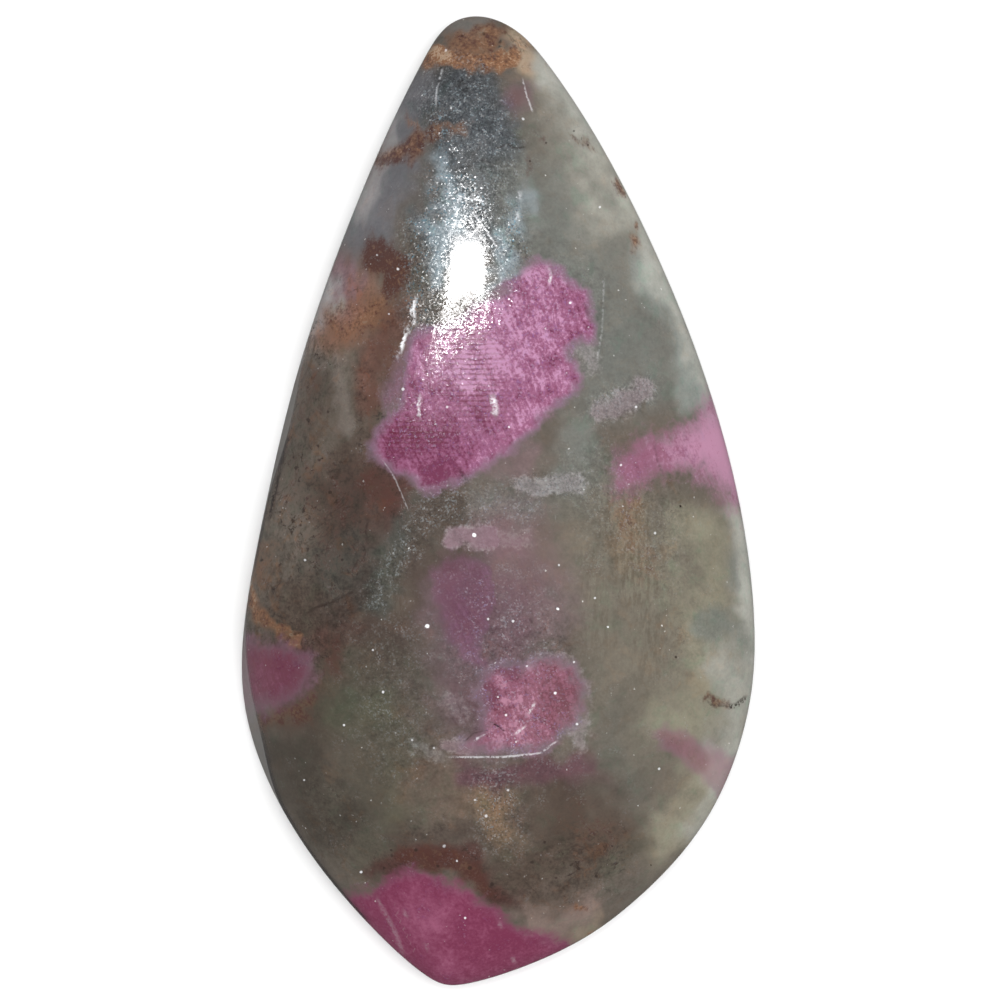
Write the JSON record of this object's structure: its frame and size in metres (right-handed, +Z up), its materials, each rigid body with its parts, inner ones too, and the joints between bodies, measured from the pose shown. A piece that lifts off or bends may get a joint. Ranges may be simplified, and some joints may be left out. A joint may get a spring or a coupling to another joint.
{
  "type": "polished ruby in feldspar cabochon",
  "caption": "Free-form teardrop cabochon of ruby in feldspar with a low polished dome, a ground girdle and a flat back.",
  "frame": {"origin": "middle of the stone's box on its flat back, the face it rests on", "axes": "+Z up through the dome, +Y along the stone towards its narrow tip, +X to the right seen from above"},
  "size_m": [0.0212, 0.04, 0.006],
  "materials": {
    "ruby_feldspar": "polished dome, ground matte girdle and back"
  },
  "bodies": {
    "root": {"cabochon": "ruby_feldspar"}
  },
  "joints": []
}
